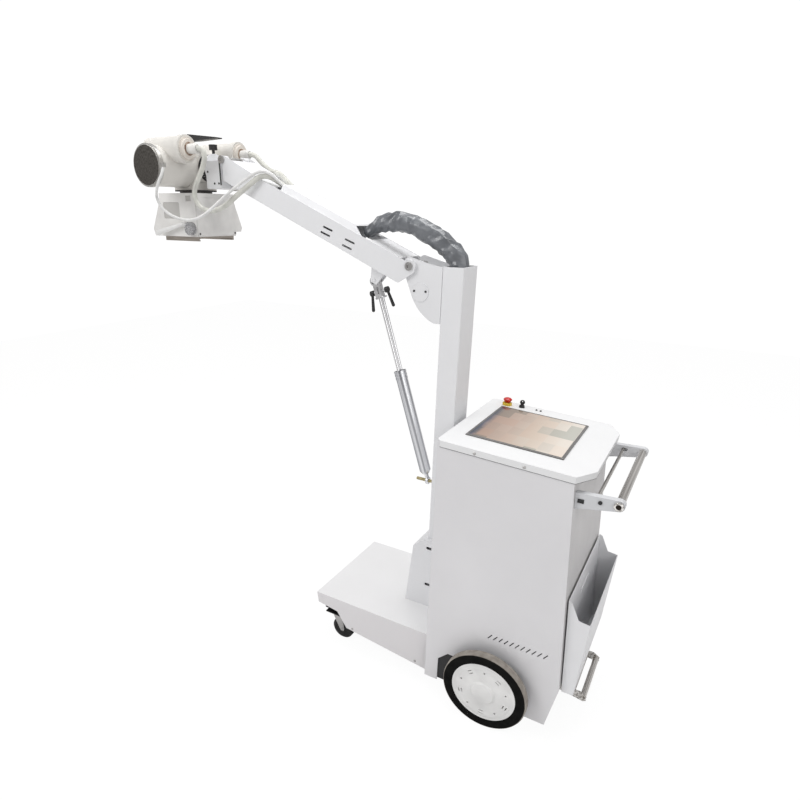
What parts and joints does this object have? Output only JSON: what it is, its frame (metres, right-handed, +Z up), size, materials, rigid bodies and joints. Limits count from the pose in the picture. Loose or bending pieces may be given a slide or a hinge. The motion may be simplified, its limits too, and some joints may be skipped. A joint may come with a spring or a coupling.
{
  "type": "mobile x-ray unit",
  "caption": "Mobile x-ray unit: wheeled cabinet and deck, fixed column, sprung lifting arm and levelled tube head with collimator.",
  "frame": {"origin": "on the floor under the middle of the whole unit", "axes": "+Z up, -X towards the tube head, +X towards the push handle"},
  "size_m": [2.1209, 0.71, 2.1139],
  "materials": {
    "white_panel": "white powder coat",
    "beige_cast": "warm white paint",
    "black_metal": "black paint",
    "grey_metal": "grey paint",
    "tank_metal": "matt",
    "steel": "brushed",
    "chrome": "polished",
    "aluminium": "machined",
    "rubber": "grey tyre",
    "cable": "matt grey",
    "sleeve": "crinkled grey cloth",
    "black_plastic": "matt",
    "white_plastic": "satin",
    "grey_plastic": "matt",
    "red_plastic": "gloss",
    "yellow_plastic": "gloss",
    "clear": "clear",
    "screen": "dark screen"
  },
  "bodies": {
    "chassis": {"chassis_frame": "black_metal", "deck_cover": "white_panel", "column_foot_cover": "white_panel", "column": "white_panel", "column_head_bracket": "white_panel", "left_side_panel": "white_panel", "right_side_panel": "white_panel", "front_panel": "white_panel", "back_panel": "white_panel", "console_plate": "white_panel", "touch_screen": "grey_plastic", "screen_glass": "screen", "console_controls": "yellow_plastic", "handle_brackets": "aluminium", "handle_bar": "steel", "cassette_bin": "white_panel", "foot_bar": "steel", "battery_pack": "grey_plastic", "generator_tank": "tank_metal", "panel_screws": "steel", "cable_sleeve": "sleeve"},
    "stop_button": {"stop_button": "red_plastic"},
    "key": {"key": "steel"},
    "release_bar": {"release_bar": "steel"},
    "rocker_switch": {"rocker_switch": "black_plastic"},
    "push_button": {"push_button": "black_plastic"},
    "left_wheel": {"left_tyre": "rubber", "left_hub": "white_plastic"},
    "right_wheel": {"right_tyre": "rubber", "right_hub": "white_plastic"},
    "left_caster_fork": {"left_caster_fork": "steel"},
    "left_caster_wheel": {"left_caster_wheel": "black_plastic"},
    "right_caster_fork": {"right_caster_fork": "steel"},
    "right_caster_wheel": {"right_caster_wheel": "black_plastic"},
    "arm": {"arm_frame": "white_panel", "arm_top_cover": "white_panel", "arm_bolts": "black_metal"},
    "levelling_rod": {"levelling_rod": "steel"},
    "strut_tube": {"strut_tube": "grey_metal"},
    "strut_rods": {"strut_rods": "chrome", "strut_end_block": "aluminium"},
    "front_clamp_lever": {"front_clamp_lever": "black_plastic"},
    "rear_clamp_lever": {"rear_clamp_lever": "black_plastic"},
    "head_bracket": {"head_bracket": "white_panel", "near_cable": "cable", "far_cable": "cable", "thin_cable": "cable"},
    "lock_knob": {"lock_knob": "black_plastic"},
    "tube_head": {"roll_collar": "black_metal", "trunnion_ring": "beige_cast", "tube_housing": "beige_cast", "cable_plugs": "white_plastic", "end_caps": "steel"},
    "paddle_handle": {"paddle_handle": "black_plastic"},
    "collimator": {"collimator_body": "white_plastic", "collimator_cover": "white_plastic", "collimator_window": "clear", "accessory_rails": "aluminium"},
    "collimator_knob": {"collimator_knob": "grey_plastic"},
    "collimator_lever": {"collimator_lever": "white_plastic"}
  },
  "joints": [
    {"name": "stop_press", "type": "slide", "parent": "chassis", "child": "stop_button", "axis": [-0.0581, 0, -0.9983], "range_m": [0, 0.004], "stiffness_N_per_m": 900},
    {"name": "key_turn", "type": "hinge", "parent": "chassis", "child": "key", "pos_m": [0.562, 0.246, 1.09549], "axis": [0.0581, 0, 0.9983], "range_deg": [0, 90]},
    {"name": "release_slide", "type": "slide", "parent": "chassis", "child": "release_bar", "axis": [1, 0, 0], "range_m": [0, 0.008], "stiffness_N_per_m": 1500},
    {"name": "rocker_tip", "type": "hinge", "parent": "chassis", "child": "rocker_switch", "pos_m": [0.922, -0.262, 0.991], "axis": [1, 0, 0], "range_deg": [-8, 8]},
    {"name": "button_press", "type": "slide", "parent": "chassis", "child": "push_button", "axis": [0, 1, 0], "range_m": [0, 0.003], "stiffness_N_per_m": 500},
    {"name": "left_wheel_spin", "type": "hinge", "parent": "chassis", "child": "left_wheel", "pos_m": [0.7025, -0.32, 0.163], "axis": [0, 1, 0], "continuous": true},
    {"name": "right_wheel_spin", "type": "hinge", "parent": "chassis", "child": "right_wheel", "pos_m": [0.7025, 0.32, 0.163], "axis": [0, 1, 0], "continuous": true},
    {"name": "left_caster_swivel", "type": "hinge", "parent": "chassis", "child": "left_caster_fork", "pos_m": [-0.054, -0.19, 0.13], "axis": [0, 0, 1], "continuous": true},
    {"name": "left_caster_spin", "type": "hinge", "parent": "left_caster_fork", "child": "left_caster_wheel", "pos_m": [-0.022, -0.19, 0.052], "axis": [0, 1, 0], "continuous": true},
    {"name": "right_caster_swivel", "type": "hinge", "parent": "chassis", "child": "right_caster_fork", "pos_m": [-0.054, 0.19, 0.13], "axis": [0, 0, 1], "continuous": true},
    {"name": "right_caster_spin", "type": "hinge", "parent": "right_caster_fork", "child": "right_caster_wheel", "pos_m": [-0.022, 0.19, 0.052], "axis": [0, 1, 0], "continuous": true},
    {"name": "arm_lift", "type": "hinge", "parent": "chassis", "child": "arm", "pos_m": [0.195, 0, 1.643], "axis": [0, -1, 0], "range_deg": [0, 40], "deforming": ["cable_sleeve"]},
    {"name": "levelling_rod_swing", "type": "hinge", "parent": "chassis", "child": "levelling_rod", "pos_m": [0.195, 0, 1.598], "axis": [0, -1, 0], "range_deg": [0, 40]},
    {"name": "strut_swing", "type": "hinge", "parent": "chassis", "child": "strut_tube", "pos_m": [0.276, 0, 0.796], "axis": [0, 1, 0], "range_deg": [0, 3.81]},
    {"name": "strut_slide", "type": "slide", "parent": "strut_tube", "child": "strut_rods", "axis": [0.3104, 0, -0.9506], "range_m": [0, 0.11668]},
    {"name": "front_clamp_turn", "type": "hinge", "parent": "strut_rods", "child": "front_clamp_lever", "pos_m": [0.00537, 0, 1.52816], "axis": [0.9506, 0, 0.3104], "range_deg": [-40, 40]},
    {"name": "rear_clamp_turn", "type": "hinge", "parent": "strut_rods", "child": "rear_clamp_lever", "pos_m": [0.06241, 0, 1.54678], "axis": [0.9506, 0, 0.3104], "range_deg": [-40, 40]},
    {"name": "head_level", "type": "hinge", "parent": "arm", "child": "head_bracket", "pos_m": [-0.6615, 0, 2.007], "axis": [0, -1, 0], "range_deg": [-40, 0], "deforming": ["near_cable", "far_cable", "thin_cable"]},
    {"name": "lock_turn", "type": "hinge", "parent": "head_bracket", "child": "lock_knob", "pos_m": [-0.776, 0, 2.05], "axis": [0, 0, 1], "range_deg": [-90, 90]},
    {"name": "head_roll", "type": "hinge", "parent": "head_bracket", "child": "tube_head", "pos_m": [-0.8, 0, 1.983], "axis": [1, 0, 0], "range_deg": [-90, 90]},
    {"name": "paddle_turn", "type": "hinge", "parent": "tube_head", "child": "paddle_handle", "pos_m": [-0.9, 0, 2.09], "axis": [0, 0, 1], "range_deg": [-20, 20]},
    {"name": "collimator_turn", "type": "hinge", "parent": "tube_head", "child": "collimator", "pos_m": [-0.9, 0, 1.886], "axis": [0, 0, 1], "range_deg": [-45, 45]},
    {"name": "shutter_knob_turn", "type": "hinge", "parent": "collimator", "child": "collimator_knob", "pos_m": [-0.824, -0.115, 1.748], "axis": [0, 1, 0], "range_deg": [-75, 75]},
    {"name": "shutter_lever_turn", "type": "hinge", "parent": "collimator", "child": "collimator_lever", "pos_m": [-0.865, -0.115, 1.766], "axis": [0, 1, 0], "range_deg": [-8, 25]}
  ],
  "couplings": [
    {"joint": "levelling_rod_swing", "follows": "arm_lift", "ratio": 1},
    {"joint": "head_level", "follows": "arm_lift", "ratio": -1},
    {"joint": "strut_swing", "follows": "arm_lift", "ratio": 0.095294},
    {"joint": "strut_slide", "follows": "arm_lift", "m_per_rad": 0.16706}
  ]
}
